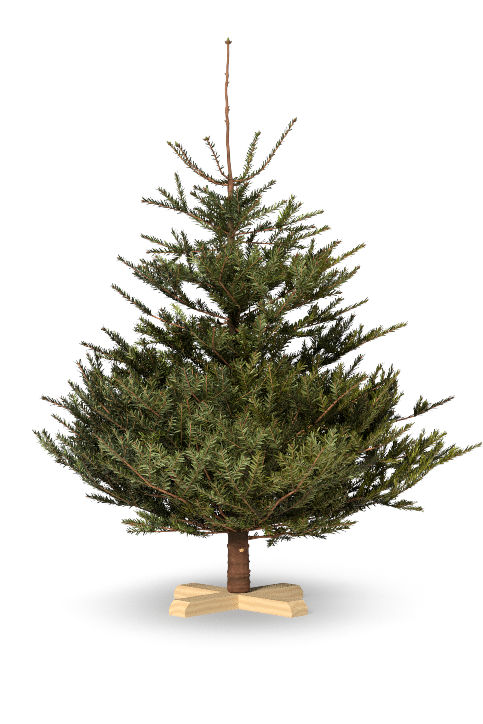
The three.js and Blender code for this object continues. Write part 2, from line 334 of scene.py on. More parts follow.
def framed_line(trunk, tier, side):
    """The line through a bough's own nodes. Its tip is the vertex furthest from the trunk, and its
    climb is fitted to all of its vertices, the tip and the bare limb weighing most."""
    names = [f"{kind}_{tier}_{side}" for kind in ("bough", "foliage")]
    nodes = [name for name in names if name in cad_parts]
    clouds = [vertices(name) for name in nodes]
    outer = clouds[-1]
    from_axis = outer[:, :2] - trunk.axis(outer[:, 2])[:, :2]
    tip = np.argmax(np.linalg.norm(from_axis, axis=1))
    out = np.append(unit(from_axis[tip]), 0.0)
    bare = tier == "top"
    near = clouds[0][(clouds[0] - trunk.axis(clouds[0][:, 2])) @ out < 0.03]
    foot = trunk.axis((near if len(near) else clouds[0])[:, 2].mean())
    weights = [np.full(len(cloud), 1.0) for cloud in clouds]
    if len(clouds) == 2:
        weights[0][:] = 6.0
    weights[-1][tip] = 60.0
    cloud, weights = np.concatenate(clouds), np.concatenate(weights)
    distance = (cloud - foot) @ out
    reach = distance.max()
    powers = np.stack([(distance / reach) ** power for power in ((3, 2, 1) if bare else (2, 1))], 1)
    height = cloud[:, 2] - foot[2]
    fitted = np.linalg.lstsq(powers * weights[:, None], height * weights, rcond=None)[0]
    return BoughLine(tier, side, nodes, foot, out, reach, np.append(fitted, 0.0))


def filler_line(trunk, upper, lower, mix, azimuth, share):
    """A bough between two tiers: its height, reach and climb are a mix of theirs."""
    foot = trunk.axis(mix * upper.foot[2] + (1 - mix) * lower.foot[2])
    reach = (mix * upper.reach + (1 - mix) * lower.reach) * share
    climb = (mix * upper.climb + (1 - mix) * lower.climb) * share
    return BoughLine(upper.tier, "filler", [], foot, compass(azimuth), reach, climb)


def bowed_line(tier, side, foot, azimuth, reach, rise, bow):
    """A limb without nodes whose height climbs by rise times (bow t^2 + (1 - bow) t) at the share t
    of its reach."""
    climb = np.array([bow * rise, (1 - bow) * rise, 0.0])
    return BoughLine(tier, side, [], foot, compass(math.radians(azimuth)), reach, climb)


def loose_line(trunk, azimuth, height, reach, rise, bow):
    """A single limb, as its row of LOOSE or FILLING gives it."""
    foot = trunk.axis(trunk.heights[0] + height)
    return bowed_line("rising", "loose", foot, azimuth, reach, rise, bow)


# ---------------------------------------------------------------- growth
class Growth:
    """The table of shoots that the branching rule fills. begin says which bough grows next, with
    its tier's facts and its own random numbers."""

    def __init__(self):
        self.rows = []
        self.sprays = 0

    def begin(self, rng, bough, facts):
        """The shoots from here on are this bough's."""
        self.rng = rng
        self.bough = bough
        self.facts = facts

    def shoot(self, start, bend, end, up, foot, tip, age, rank, spray, held=1.0, last=None,
              needle=1.0):
        """Adds a row in the order of SHOOT. Only a shoot of this year is the last one, unless the
        caller says otherwise."""
        last = age == 0 if last is None else last
        self.rows.append((start, bend, end, up, foot, tip, age, rank, self.bough, spray, held,
                          last, needle))

    def new_spray(self):
        """The next spray's number."""
        self.sprays += 1
        return self.sprays

    def table(self):
        """All the shoots as one array."""
        return np.array(self.rows, SHOOT)

    def branch(self, start, heading, up, years, length, rank, spray=None):
        """A side branch. Each year it adds a shoot that turns a little to the sky and a little at
        random, and the shoot's end carries a whorl of side branches."""
        spray = spray or self.new_spray()
        rng = self.rng
        for age in reversed(range(years)):
            grown = length * SIDE_LENGTH[rank] * rng.uniform(0.85, 1.15)
            turned = unit(heading + self.facts["lift"] * SKY + rng.normal(0, WANDER, 3))
            bend = start + heading * grown * 0.5
            end = bend + turned * grown * 0.5
            foot = TWIG_TIP + TWIG_YEAR * (age + 1)
            tip = TWIG_TIP + TWIG_YEAR * age
            self.shoot(start, bend, end, up, foot, tip, age, rank, spray)
            if age:
                self.whorl(end, turned, up, age, length, rank + 1, SIDE_EXTRA, spray)
                if rank == 1 and rng.random() < 0.5:
                    self.small_shoot(start, bend, end, up, rank + 1, spray)
            start, heading = end, turned

    def whorl(self, node, heading, up, years, length, rank, extra, spray=None):
        """Side branches at a node: one to each side in the plane of the spray, and by chance one
        above it and one below."""
        if rank >= len(SIDE_YEARS):
            return
        rng = self.rng
        across = unit(np.cross(up, heading))
        upward = np.cross(heading, across)
        turns = [0.0, math.pi]
        turns += [math.pi / 2] if rng.random() < extra else []
        turns += [-math.pi / 2] if rng.random() < extra * 0.5 else []
        for turn in turns:
            if rng.random() > SIDE_CHANCE[rank]:
                continue
            turn += rng.normal(0, 0.2)
            angle = SIDE_ANGLE * self.facts.get("spread", 1.0) + rng.normal(0, 0.1)
            outward = math.cos(turn) * across + math.sin(turn) * upward
            start_heading = math.cos(angle) * heading + math.sin(angle) * outward
            start_heading = unit(start_heading + 0.5 * self.facts["lift"] * SKY)
            in_plane = abs(math.cos(turn))
            share = (0.75 + 0.25 * in_plane) * rng.uniform(0.88, 1.1)
            side_years = min(years, SIDE_YEARS[rank])
            if in_plane <= 0.5:
                side_years = min(side_years, 2)
            side_up = unit(upward + rng.normal(0, 0.12, 3))
            self.branch(node, start_heading, side_up, side_years, length * share, rank, spray)

    def small_shoot(self, start, bend, end, up, rank, spray):
        """A short shoot that leaves another part way along, without any of its own."""
        rng = self.rng
        t = rng.uniform(0.25, 0.85)
        node = parabola(start, bend, end, t)
        heading = unit(end - start)
        across = unit(np.cross(up, heading))
        turn = rng.uniform(0, 2 * math.pi)
        outward = math.cos(turn) * across + abs(math.sin(turn)) * np.cross(heading, across)
        out = unit(0.6 * heading + 0.8 * outward)
        length = rng.uniform(*SMALL_SHOOT)
        self.shoot(node, node + out * length * 0.5, node + (out + 0.1 * SKY) * length, up,
                   TWIG_TIP + TWIG_YEAR, TWIG_TIP, 0, rank, spray)

    def main_bough(self, line, number, trunk):
        """A main bough along its line. Its nodes are evenly spaced, each pushed a little off the
        line, and each carries a whorl whose strength swells from the trunk to half way out."""
        facts = dict(TIERS[line.tier], spread=SPREAD.get(line.name, 1.0))
        bare = line.tier == "top"
        held_inside = LIMB_FRINGED.get(line.name, LIMB_HELD)
        shown = LIMB_SHOWN.get(line.name, facts["bare"])
        rng = np.random.default_rng((CROWN_SEED, number))
        self.begin(rng, number, facts)
        years = facts["years"] if line.nodes else max(2, round(line.length() / LIMB_SHOOT))
        parts = TOP_PARTS if bare else years
        inside = trunk.radius(line.foot[2]) * 0.5 / line.reach
        shares = inside + (1 - inside) * np.linspace(0, 1, parts + 1)
        if not bare:
            shares[1:-1] += rng.uniform(-0.12, 0.12, parts - 1) / parts
        nodes = line.point(shares)
        sway = rng.normal(0, LIMB_SWAY[0], (parts + 1, 1)) * line.across
        sway = sway + rng.normal(0, LIMB_SWAY[1], (parts + 1, 1)) * SKY
        nodes[1:-1] += sway[1:-1] * (0.3 if bare else 1.0)
        slope = np.gradient(nodes, axis=0)
        spray = self.new_spray()
        for part in range(parts):
            newest = part == parts - 1
            age = 0 if bare else years - 1 - part
            start, end = nodes[part], nodes[part + 1]
            bend = (start + end) / 2 + (slope[part] - slope[part + 1]) / 8
            along = unit(end - bend)
            up = upright(along)
            thick = (parts - 1 - part) * 0.6 if bare else age
            foot = LIMB_TIP + LIMB_YEAR * (thick + 0.7)
            tip = LIMB_TIP + LIMB_YEAR * max(0, thick - 0.3)
            held = TOP_HELD[line.side] if bare else 1.0 if newest else held_inside
            self.shoot(start, bend, end, up, foot, tip, age, 0, spray, held, newest,
                       TOP_NEEDLE if bare else 1.0)
            share = shares[part + 1]
            if age and share > shown:
                strength = 0.6 + 0.4 * math.sin(math.pi * min(1.0, share ** 0.7 * 1.05))
                side_years = max(1, min(age, SIDE_YEARS[1]) - (share < 0.2))
                self.whorl(end, along, up, side_years, facts["side"] * strength, 1,
                           facts["extra"])
                for _ in range(2):
                    self.small_shoot(start, bend, end, up, 1, spray)


def bough_lines(trunk):
    """Every main bough's line, tier by tier in the order of the frame's nodes. Then come the
    fillers, which turn round the trunk by about equal steps between each tier and the next, the
    boughs that rise from the lowest whorl, the loose limbs, the skirt of low level boughs and the
    filling limbs."""
    framed = {}
    for tier in TIERS:
        sides = []
        for name in sorted(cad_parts):
            kind, _, rest = name.partition("_")
            place, _, side = rest.partition("_")
            if kind in ("bough", "foliage") and place == tier and side not in sides:
                sides.append(side)
        framed[tier] = [framed_line(trunk, tier, side) for side in sides]
    lines = [line for members in framed.values() for line in members]
    rng = np.random.default_rng(CROWN_SEED)
    names = list(TIERS)
    for number, (tier, below) in enumerate(zip(names, names[1:])):
        count = TIERS[tier]["fillers"]
        for k in range(count):
            azimuth = 2 * math.pi * (k + 0.5 + rng.uniform(-0.25, 0.25)) / count + number
            out = compass(azimuth)
            upper = max(framed[tier], key=lambda line: line.out @ out)
            lower = max(framed[below], key=lambda line: line.out @ out)
            lines.append(filler_line(trunk, upper, lower, rng.uniform(0.3, 0.75), azimuth,
                                     rng.uniform(0.78, 0.98)))
    whorl = framed["lowest"][0].foot
    lines += [bowed_line("rising", "risen", whorl, *row, RISING_BOW) for row in RISING]
    lines += [loose_line(trunk, *row) for row in LOOSE]
    low = trunk.axis(trunk.heights[0] + SKIRT_HEIGHT)
    for k, row in enumerate(SKIRT):
        azimuth = 360 * (k + 0.2) / len(SKIRT)
        lines.append(bowed_line("skirt", "level", low, azimuth, *row, SKIRT_BOW))
    return lines + [loose_line(trunk, *row) for row in FILLING]


def inner_branches(growth, trunk, lines):
    """Small branches that leave the trunk between the whorls and fill the crown's inside: those of
    INTERNODE one by one, then those of INNER."""
    rng = np.random.default_rng(CROWN_SEED)
    low = trunk.heights[0]
    grown = [n for n, line in enumerate(lines) if line.nodes and line.tier != "top"]
    for azimuth, height, reach, rise in INTERNODE:
        out = compass(math.radians(azimuth))
        foot = trunk.axis(low + height)
        heading = unit(reach * out + 0.55 * rise * SKY)
        nearest = min(grown, key=lambda n: (abs(lines[n].foot[2] - foot[2])
                                            - 0.1 * lines[n].out @ out))
        years = max(1, round(reach / INTERNODE_SHOOT))
        growth.begin(rng, nearest, TIERS[lines[nearest].tier])
        growth.branch(foot, heading, upright(heading), years, math.hypot(reach, rise) / years, 1)
    for tier, count in INNER.items():
        members = of_tier(lines, tier)
        reach = np.mean([lines[n].reach for n in members])
        whorl = lines[members[0]].foot[2]
        for k in range(count):
            out = compass(2 * math.pi * (k + rng.uniform(-0.3, 0.3)) / count)
            height = whorl + rng.uniform(0.02, 0.14)
            wanted = reach * rng.uniform(0.3, 0.5)
            years = max(1, round(wanted / INNER_SHOOT))
            heading = unit(out + rng.uniform(0.25, 0.55) * SKY)
            foot = trunk.axis(height) + out * trunk.radius(height) * 0.5
            nearest = max(members, key=lambda n: lines[n].out @ out)
            growth.begin(rng, nearest, TIERS[tier])
            growth.branch(foot, heading, upright(heading), years, wanted / years, 1)


# ---------------------------------------------------------------- bark, needles and buds
def along_shoots(shoots, t):
    """Points and directions at t on each shoot's parabola through start, bend and end."""
    t = t[..., None]
    start, bend, end = (shoots[key] for key in ("start", "bend", "end"))
    if t.ndim == 3:
        start, bend, end = start[:, None], bend[:, None], end[:, None]
    along = unit((1 - t) * (bend - start) + t * (end - bend))
    return parabola(start, bend, end, t), along


def cross_frame(along, up):
    """The directions across and square to each direction, level with the spray's plane."""
    across = unit(np.cross(up, along))
    return across, np.cross(along, across)


def needled_length(shoots):
    """The length of each shoot times the share of its needles that it still holds."""
    length = np.linalg.norm(shoots["end"] - shoots["start"], axis=1)
    return length * NEEDLED[np.minimum(shoots["age"], len(NEEDLED) - 1)] * shoots["held"]


def shoot_tubes(shoots, sides, steps, uneven, rng):
    """Tapered round tubes along the shoots. The radius runs evenly from foot to tip, swells at
    the foot where the shoot leaves its node, and is uneven by a share."""
    t = np.tile(np.linspace(0, 1, steps + 1), (len(shoots), 1))
    points, along = along_shoots(shoots, t)
    across, square = cross_frame(along, shoots["up"][:, None])
    radius = shoots["foot"][:, None] * (1 - t) + shoots["tip"][:, None] * t
    radius = radius * (1 + 0.3 * bell(t, 0.07))
    turn = circle(sides)
    radius = radius[..., None] * (1 + uneven * rng.normal(0, 1, t.shape + (sides,)))
    rings = (points[:, :, None]
             + radius[..., None] * np.cos(turn)[:, None] * across[:, :, None]
             + radius[..., None] * np.sin(turn)[:, None] * square[:, :, None])
    return closed_tubes(rings)


def needle_kites(shoots, per_metre, rng):
    """Needles along the shoots, in even steps as a comb's teeth on both sides, each step with
    needles of two or three layers. They lean further forward towards a shoot's tip and on the
    crown's right side. A needle is a flat strip with blunt ends: four corners, of which two
    opposite ones lie a little above its plane and two below, and the four faces between them."""
    layers = len(LAYER_TILT)
    counts = layers * np.round(needled_length(shoots) * per_metre / layers).astype(int)
    owner = np.repeat(np.arange(len(shoots)), counts)
    order = np.arange(len(owner)) - np.repeat(np.cumsum(counts) - counts, counts)
    layer = order // 2 % layers
    step = 2 * (order // (2 * layers)) + (layer >= 3)
    steps = counts[owner] / layers
    side = np.where(order % 2 == 0, 1.0, -1.0)
    t = (step + 0.5 + 0.2 * side + rng.normal(0, 0.13, len(owner))) / np.maximum(steps, 1)
    t = np.clip(t, 0, 1)
    mine = shoots[owner]
    point, along = along_shoots(mine, t)
    across, square = cross_frame(along, mine["up"])
    tilt = LAYER_TILT[layer] + rng.normal(0, 0.17, len(owner))
    radial = (side * np.cos(tilt))[:, None] * across + np.sin(tilt)[:, None] * square
    angle = NEEDLE_ANGLE * (1.08 - 0.38 * t ** 2 - 0.12 * np.abs(tilt))
    angle = angle + rng.normal(0, 0.12, len(owner))
    angle = angle * (1 - 0.28 * smooth(0.1, 0.4, mine["bend"][:, 0]))
    heading = unit(np.cos(angle)[:, None] * along + np.sin(angle)[:, None] * radial)
    ends = 0.76 + 0.24 * np.sin(math.pi * np.clip(t * 0.9 + 0.05, 0, 1)) ** 0.6
    size = NEEDLE_LENGTH * LAYER_LENGTH[layer] * ends * mine["needle"]
    size = size * rng.uniform(0.75, 1.08, len(owner))
    face = unit(square + 0.3 * along + rng.normal(0, 0.45, point.shape))
    edge = unit(np.cross(face, heading))
    face = np.cross(heading, edge)
    radius = mine["foot"] * (1 - t) + mine["tip"] * t
    base = point + radial * radius[:, None] * 0.7
    tip = base + heading * size[:, None] + 0.1 * size[:, None] * (square * 0.4 + along * 0.6)
    foot_half = edge * NEEDLE_WIDTH / 2
    tip_half = edge * NEEDLE_TIP_WIDTH / 2
    thick = face * NEEDLE_THICKNESS / 2
    points = np.stack([
        base + foot_half + thick, base - foot_half - thick,
        tip + tip_half - thick, tip - tip_half + thick,
    ], 1)
    kite = np.array([[0, 1, 3], [0, 3, 2], [0, 2, 1], [1, 2, 3]])
    faces = (kite[None] + 4 * np.arange(len(owner))[:, None, None]).reshape(-1, 3)
    return points.reshape(-1, 3), faces, owner, layer


def spindles(base, heading, beside, length, girth):
    """Closed spindles of three sides from a base along a heading, as rings of points. Each has
    its greatest girth a third of the way up and all but closes at its ends."""
    profile = np.array([[0.0, 0.3], [0.36, 1.0], [1.0, 0.08]])
    rise, width = profile.T[:, None, :, None, None]
    turn = circle(3)
    square = np.cross(heading, beside)
    up = rise * (length[:, None] * heading)[:, None, None]
    out = (np.cos(turn)[None, None, :, None] * beside[:, None, None]
           + np.sin(turn)[None, None, :, None] * square[:, None, None])
    return base[:, None, None] + up + girth[:, None, None, None] * width * out


def bud_clusters(shoots, rng):
    """Buds at the tips: one on every tip, and two smaller ones beside it on the stronger ones.
    The buds of the top whorl are larger. The third result says which buds are green."""
    ends = shoots[shoots["last"]]
    strong_ends = ends[ends["rank"] <= 1]
    rings, green = [], []
    for lean, size, chosen in ((0.0, 1.0, ends), (0.9, 0.8, strong_ends), (-0.9, 0.8, strong_ends)):
        end, along = along_shoots(chosen, np.full(len(chosen), 1.0))
        across, square = cross_frame(along, chosen["up"])
        lean = lean + rng.normal(0, 0.15, len(chosen))[:, None]
        heading = unit(np.cos(lean) * along + np.sin(lean) * across)
        beside = unit(np.cross(square, heading))
        top = chosen["needle"] < 1
        strong = size * np.where(chosen["rank"] <= 1, 1.1, 0.85)
        strong = strong * rng.uniform(0.85, 1.15, len(chosen))
        strong = strong * np.where(top, 2.1, np.where(end[:, 2] > OPEN_HEIGHT, 1.4, 1.0))
        rings.append(spindles(end, heading, beside, BUD_LENGTH * strong, BUD_GIRTH * strong))
        green.append(top & (size == 1.0))
    return (*closed_tubes(np.concatenate(rings)), np.concatenate(green))


def leader_buds(trunk, rng):
    """The leader's end bud with four smaller ones round it, and single buds down its sides."""
    top = trunk.heights[-1]
    buds = [(top - 0.021, 0.0, 0.0, 0.021, 0.0068)]
    buds += [(top - 0.022, 90.0 * k + 20, 0.75, 0.0135, 0.0046) for k in range(4)]
    buds += [(trunk.heights[0] + up, facing, 0.8, 0.0095, 0.0034) for up, facing in LEADER_BUDS]
    height, facing, lean, length, girth = np.array(buds).T
    out = np.stack([np.cos(np.radians(facing)), np.sin(np.radians(facing)), 0 * facing], 1)
    heading = np.cos(lean)[:, None] * SKY + np.sin(lean)[:, None] * out
    off = trunk.radius(height)[:, None] * (lean > 0)[:, None] * 0.8
    base = leader_axis(trunk, height) + out * off
    beside = unit(np.cross(SKY, out))
    length = length * np.where(lean > 0, rng.uniform(0.9, 1.1, len(length)), 1.0)
    points, faces = closed_tubes(spindles(base, heading, beside, length, girth))
    return points, faces, lean == 0


# ---------------------------------------------------------------- materials
def by_node(operation, swapped=False):
    """An operator that adds a Math node. swapped puts the other value first."""
    def operator(signal, other):
        first, second = (other, signal) if swapped else (signal, other)
        return signal.shader.maths(operation, first, second)
    return operator


class Signal:
    """A socket. + - * / ** on signals and numbers add Math nodes."""

    def __init__(self, shader, socket):
        self.shader = shader
        self.socket = socket

    __add__ = __radd__ = by_node("ADD")
    __sub__ = by_node("SUBTRACT")
    __rsub__ = by_node("SUBTRACT", swapped=True)
    __mul__ = __rmul__ = by_node("MULTIPLY")
    __truediv__ = by_node("DIVIDE")
    __pow__ = by_node("POWER")
    __rpow__ = by_node("POWER", swapped=True)


class Shader:
    """One material. Plain values go straight onto the surface's own sockets."""

    def __init__(self, name, colour, **plain):
        self.material = bpy.data.materials.new(name)
        self.material.use_nodes = True
        self.material.diffuse_color = (*colour, 1.0)
        self.tree = self.material.node_tree
        self.surface = self.tree.nodes["Principled BSDF"]
        self.surface.inputs["Base Color"].default_value = (*colour, 1.0)
        for socket, value in plain.items():
            self.surface.inputs[socket.replace("_", " ")].default_value = value

    def node(self, kind, settings=None, sockets=None, output=0):
        """A node of a kind, with its settings and then its sockets' values or links."""
        made = self.tree.nodes.new(kind)
        for name, value in (settings or {}).items():
            if name == "stops":
                self.set_stops(made.color_ramp, value)
            else:
                setattr(made, name, value)
        for key, value in (sockets or {}).items():
            if isinstance(value, Signal):
                self.tree.links.new(value.socket, made.inputs[key])
            else:
                made.inputs[key].default_value = value
        return Signal(self, made.outputs[output])

    def maths(self, operation, first, second):
        """A Math node over two signals or numbers."""
        return self.node("ShaderNodeMath", {"operation": operation}, {0: first, 1: second})

    @staticmethod
    def set_stops(ramp, stops):
        """Sets a colour ramp's stops, each a place and a colour in 0 to 255 screen values."""
        while len(ramp.elements) < len(stops):
            ramp.elements.new(0.5)
        for element, (place, screen) in zip(ramp.elements, stops):
            element.position = place
            element.color = (*srgb(*screen), 1.0)

    def ramp(self, signal, *stops):
        """The colour that the stops give to a signal."""
        return self.node("ShaderNodeValToRGB", {"stops": stops}, {"Fac": signal})

    def step(self, signal, low, high, foot=0.0, top=1.0):
        """foot below low, top above high, and a smooth step between."""
        return self.node("ShaderNodeMapRange", {"interpolation_type": "SMOOTHSTEP"}, {
            "Value": signal, "From Min": low, "From Max": high, "To Min": foot, "To Max": top,
        })

    def mix(self, share, first, second, blend="MIX"):
        """The first colour, blended with a share of the second. Sockets 6, 7 and 2 are the node's
        two colours and its result."""
        return self.node("ShaderNodeMix", {"data_type": "RGBA", "blend_type": blend}, {
            "Factor": share, 6: first, 7: second,
        }, output=2)

    def length(self, vector):
        """How long a vector is."""
        settings = {"operation": "LENGTH"}
        return self.node("ShaderNodeVectorMath", settings, {0: vector}, output="Value")

    def feed(self, socket, signal):
        """Links a signal to one of the surface's sockets."""
        self.tree.links.new(signal.socket, self.surface.inputs[socket])

    def place(self, scale=(1.0, 1.0, 1.0), turn=(0.0, 0.0, 0.0), shift=(0.0, 0.0, 0.0)):
        """Object coordinates, turned, shifted and stretched."""
        where = self.node("ShaderNodeTexCoord", output="Object")
        return self.node("ShaderNodeMapping", {}, {
            "Vector": where, "Location": shift, "Rotation": turn, "Scale": scale,
        })

    def noise(self, pitch, detail, roughness, distortion=0.0, **where):
        """Noise over Object coordinates, turned, shifted and stretched as where says."""
        return self.node("ShaderNodeTexNoise", {}, {
            "Vector": self.place(**where), "Scale": pitch, "Detail": detail,
            "Roughness": roughness, "Distortion": distortion,
        })

    def finish(self, roughness, relief, strength, depth, colour=None):
        """Feeds the roughness, the relief and any varying colour, and gives the material."""
        if colour:
            self.feed("Base Color", colour)
        self.feed("Roughness", roughness)
        self.feed("Normal", self.node("ShaderNodeBump", {}, {
            "Height": relief, "Strength": strength, "Distance": depth,
        }))
        return self.material


def srgb(red, green, blue):
    """A linear colour from its 0 to 255 screen values."""
    share = np.array([red, green, blue]) / 255
    curve = ((share + 0.055) / 1.055) ** 2.4
    return tuple(np.where(share < 0.04045, share / 12.92, curve).tolist())


def bark_material():
    """Reddish brown bark, darker in its cracks, with a greenish painted shade from the lowest whorl
    up, where the crown hangs over the trunk, a greenish darker band low on the foot, and smooth and
    dull brown near the top whorl."""
    shader = Shader("trunk_bark", srgb(124, 82, 56), Specular_IOR_Level=0.25)
    plates = shader.noise(46, 3, 0.5, 0.5, scale=(1, 1, 1.3))
    patches = shader.noise(22, 3, 0.5, scale=(1, 1, 1.4))
    rough_bark = shader.ramp(plates * 0.6 + patches * 0.4, (0.3, (60, 35, 20)),
                             (0.45, (88, 54, 32)), (0.6, (102, 64, 41)), (0.78, (132, 92, 60)))
    height = shader.node("ShaderNodeSeparateXYZ", {}, {0: shader.place()}, output="Z")
    uneven = height + patches * 0.05
    # Greenish painted shade from the lowest whorl up, under the crown, deeper higher up.
    crown_shade = shader.step(uneven, 0.222, 0.248, top=0.85) + shader.step(uneven, 0.4, 0.7, top=0.4)
    # A greenish darker band low on the foot.
    low_band = (uneven - 0.116) / 0.011
    patch = 0.6 * math.e ** (-1 * low_band * low_band)
    greenish_darkening = (*srgb(134, 148, 92), 1.0)
    dull = shader.mix(shader.maths("MAXIMUM", crown_shade, patch), rough_bark, greenish_darkening, "MULTIPLY")
    smooth_bark = shader.ramp(plates, (0.36, (74, 60, 35)), (0.62, (108, 88, 55)))
    young = shader.step(height + patches * 0.1, 1.12, 1.36)
    colour = shader.mix(young, dull, smooth_bark)
    return shader.finish(0.75 + patches * 0.2, plates + patches, 0.3, 0.004, colour)


def cut_wood_material():
    """The fresh end of a cut branch: pale orange wood with a fine mottle."""
    shader = Shader("cut_wood", srgb(250, 204, 140), Specular_IOR_Level=0.3)
    grain = shader.noise(260, 3, 0.6)
    colour = shader.ramp(grain, (0.36, (196, 122, 66)), (0.52, (236, 180, 116)),
                         (0.68, (250, 214, 160)))
    return shader.finish(0.55 + grain * 0.2, grain, 0.3, 0.001, colour)


def limb_material(name, dark=1.0):
    """Smooth orange-brown bark of the boughs, with paler and darker patches and a fine grain. dark
    below 1 deepens all of its colours."""
    shader = Shader(name, srgb(158, 101, 64), Specular_IOR_Level=0.3)
    patches = shader.noise(34, 4, 0.6)
    grain = shader.noise(420, 3, 0.6)
    stops = ((0.34, (106, 68, 42)), (0.5, (158, 101, 64)), (0.66, (190, 132, 92)))
    stops = [(place, [dark * value for value in screen]) for place, screen in stops]
    colour = shader.ramp(patches * 0.75 + grain * 0.25, *stops)
    return shader.finish(0.62 + grain * 0.25, grain + patches * 0.5, 0.4, 0.0012, colour)


def twig_material(name, screen):
    """Plain bark of young wood, with a fine bump of needle scars."""
    shader = Shader(name, srgb(*screen), Specular_IOR_Level=0.3)
    scars = shader.noise(600, 2, 0.5)
    return shader.finish(0.5 + scars * 0.3, scars, 0.3, 0.0006)


def needle_material(name, screen):
    """A needle's plain waxy colour, duller on its underside. What varies, painted light and shade
    among it, is dealt out from spray to spray."""
    roughness = 0.45 if "under" in name else 0.36
    return Shader(name, srgb(*screen), Roughness=roughness, Specular_IOR_Level=0.4,
                  Specular_Tint=(1.0, 1.0, 0.5, 1.0)).material


def timber_material(name, turn):
    """Planed softwood: growth rings round a heart below the board, bent by slow noise, with fine
    fibres along it. turn lays the pattern along the board."""
    shader = Shader(name, srgb(214, 184, 142), Specular_IOR_Level=0.3)
    along = (0, 0, -turn)
    heart = shader.node("ShaderNodeVectorMath", {"operation": "MULTIPLY"}, {
        0: shader.place(turn=along, shift=(0.0, 0.011, 0.052)), 1: (0.05, 1.0, 1.0),
    })
    slow = shader.noise(5, 2, 0.5, scale=(0.6, 2.2, 2.2), turn=along)
    ring = shader.node("ShaderNodeMath", {"operation": "SINE"}, {
        0: (shader.length(heart) + slow * 0.02) * 330,
    })
    fibre = shader.noise(260, 3, 0.6, scale=(0.04, 1, 1), turn=along)
    colour = shader.ramp(0.42 + ring * 0.16 + (fibre - 0.5) * 0.1, (0.08, (206, 180, 138)),
                         (0.55, (190, 158, 114)), (0.95, (160, 122, 80)))
    return shader.finish(0.52 + fibre * 0.25, ring * 0.3 + fibre, 0.05, 0.0004, colour)


# Plain colours, in 0 to 255 screen values. The needles' colours make a ladder for each tone and
# face, from painted shade to painted light, that deal_colours and add_needles climb; the under
# faces are paler, as the needles' undersides are.
NEEDLE_COLOURS = {
    "needles_deep": (24, 28, 2),
    "needles_forest": (50, 60, 5),
    "needles_moss": (74, 76, 5),
    "needles_leaf": (96, 108, 26),
    "needles_olive": (114, 114, 28),
    "needles_fresh_and_lit": (126, 138, 72),
    "needles_under_deep": (34, 38, 6),
    "needles_under_shade": (96, 104, 46),
    "needles_under": (132, 142, 90),
    "needles_cool_deep": (40, 48, 26),
    "needles_cool": (74, 86, 54),
    "needles_under_dim": (64, 70, 28),
    "needles_olive_shade": (94, 96, 34),
    "needles_olive_under": (134, 136, 74),
}
# The colours' numbers for the four painted shade levels, from shaded to lit, of cool, green and
# olive sprays.
UPPER_ORDER = np.array([[9, 9, 10, 5], [0, 1, 3, 5], [0, 2, 4, 4]])
UNDER_ORDER = np.array([[6, 9, 10, 8], [6, 11, 7, 8], [6, 2, 12, 13]])
# What a layer's faces take off the shade level, as painted shade: the flat needles would shade
# each other's upper faces, and the raised ones stand behind them when seen from below.
UPPER_LOSS = np.array([1, 0, 0, 1, 0])
UNDER_LOSS = np.array([0, 1, 2, 0, 2])
NEEDLE_LUCK = (0.17, 0.66, 0.17)  # the chances of a shade darker, the spray's own and a lighter one
OPEN_HEIGHT = 0.95  # above it the crown is open to the light, so no spray gets the darkest painted shade
# Bark of young, older and old shoots; the two darker ones also stand for painted shade on the side
# shoots of dark sprays.
TWIG_COLOURS = {
    "twig_young": (150, 108, 56),
    "older_twig_and_shade": (120, 84, 44),
    "oldest_twig_and_shade": (62, 44, 24),
}
BUD_COLOURS = {"bud_scales": (112, 74, 38), "bud_green": (96, 104, 34)}


def deal_colours(shoots, lines, trunk):
    """Each shoot's shade, from 0 dark to 3 light, and its tone: 0 cool, 1 green, 2 olive. The shade
    is
    painted light and shade: sprays deep inside get painted shade and outer ones painted light, and
    newer ones are lighter. The crown's right side and left edge get painted shade, and its sides
    low down a little painted light. Its right and its foot are more olive, its left and its top
    cooler. Each spray and each shoot has its own luck, more of it on the right."""
    rng = np.random.default_rng(COLOUR_SEED)
    sprays = shoots["spray"].max() + 1
    luck = 0.22 * rng.normal(0, 1, sprays)[shoots["spray"]] + 0.25 * rng.normal(0, 1, len(shoots))
    middle = shoots["bend"]
    luck = luck * (1 + smooth(0.05, 0.3, middle[:, 0]))
    apart = np.linalg.norm(middle[:, :2] - trunk.axis(middle[:, 2])[:, :2], axis=1)
    reach = np.array([line.reach for line in lines])[shoots["bough"]]
    newness = np.array([0.25, -0.1, -0.45, -0.7])[np.minimum(shoots["age"], 3)]
    tier_light = np.array([TIERS[line.tier]["light"] for line in lines])[shoots["bough"]]
    # Painted shade on the crown's right side and on its left edge.
    shady_side = smooth(0.02, 0.42, middle[:, 0]) * smooth(1.15, 0.9, middle[:, 2]) * 0.4
    shady_side = shady_side + smooth(-0.25, -0.45, middle[:, 0]) * 0.5
    # Painted light on the crown's sides low down.
    aside = smooth(0.1, 0.35, np.abs(middle[:, 0]))
    low = 0.25 * smooth(0.5, 0.38, middle[:, 2]) * aside
    # Painted light and shade: outer sprays lit and inner ones shaded, by the distance from the
    # trunk against the bough's reach, with each tier's painted light and the sides' painted shade
    # and light.
    light = 1.6 * apart / reach - 0.85 + luck + newness + tier_light - shady_side + low
    tone = rng.normal(0, 0.45, sprays)[shoots["spray"]]
    tone = tone + 2.6 * middle[:, 0] - 0.9 * (middle[:, 2] - 0.5)
    shade = np.digitize(light, [-0.2, 0.2, 0.62])
    # Where the crown is open, no spray gets the darkest painted shade.
    shade = np.where(middle[:, 2] > OPEN_HEIGHT, np.maximum(shade, 1), shade)
    return np.where(shoots["needle"] < 1, 1, shade), np.digitize(tone, [-0.9, 0.3])


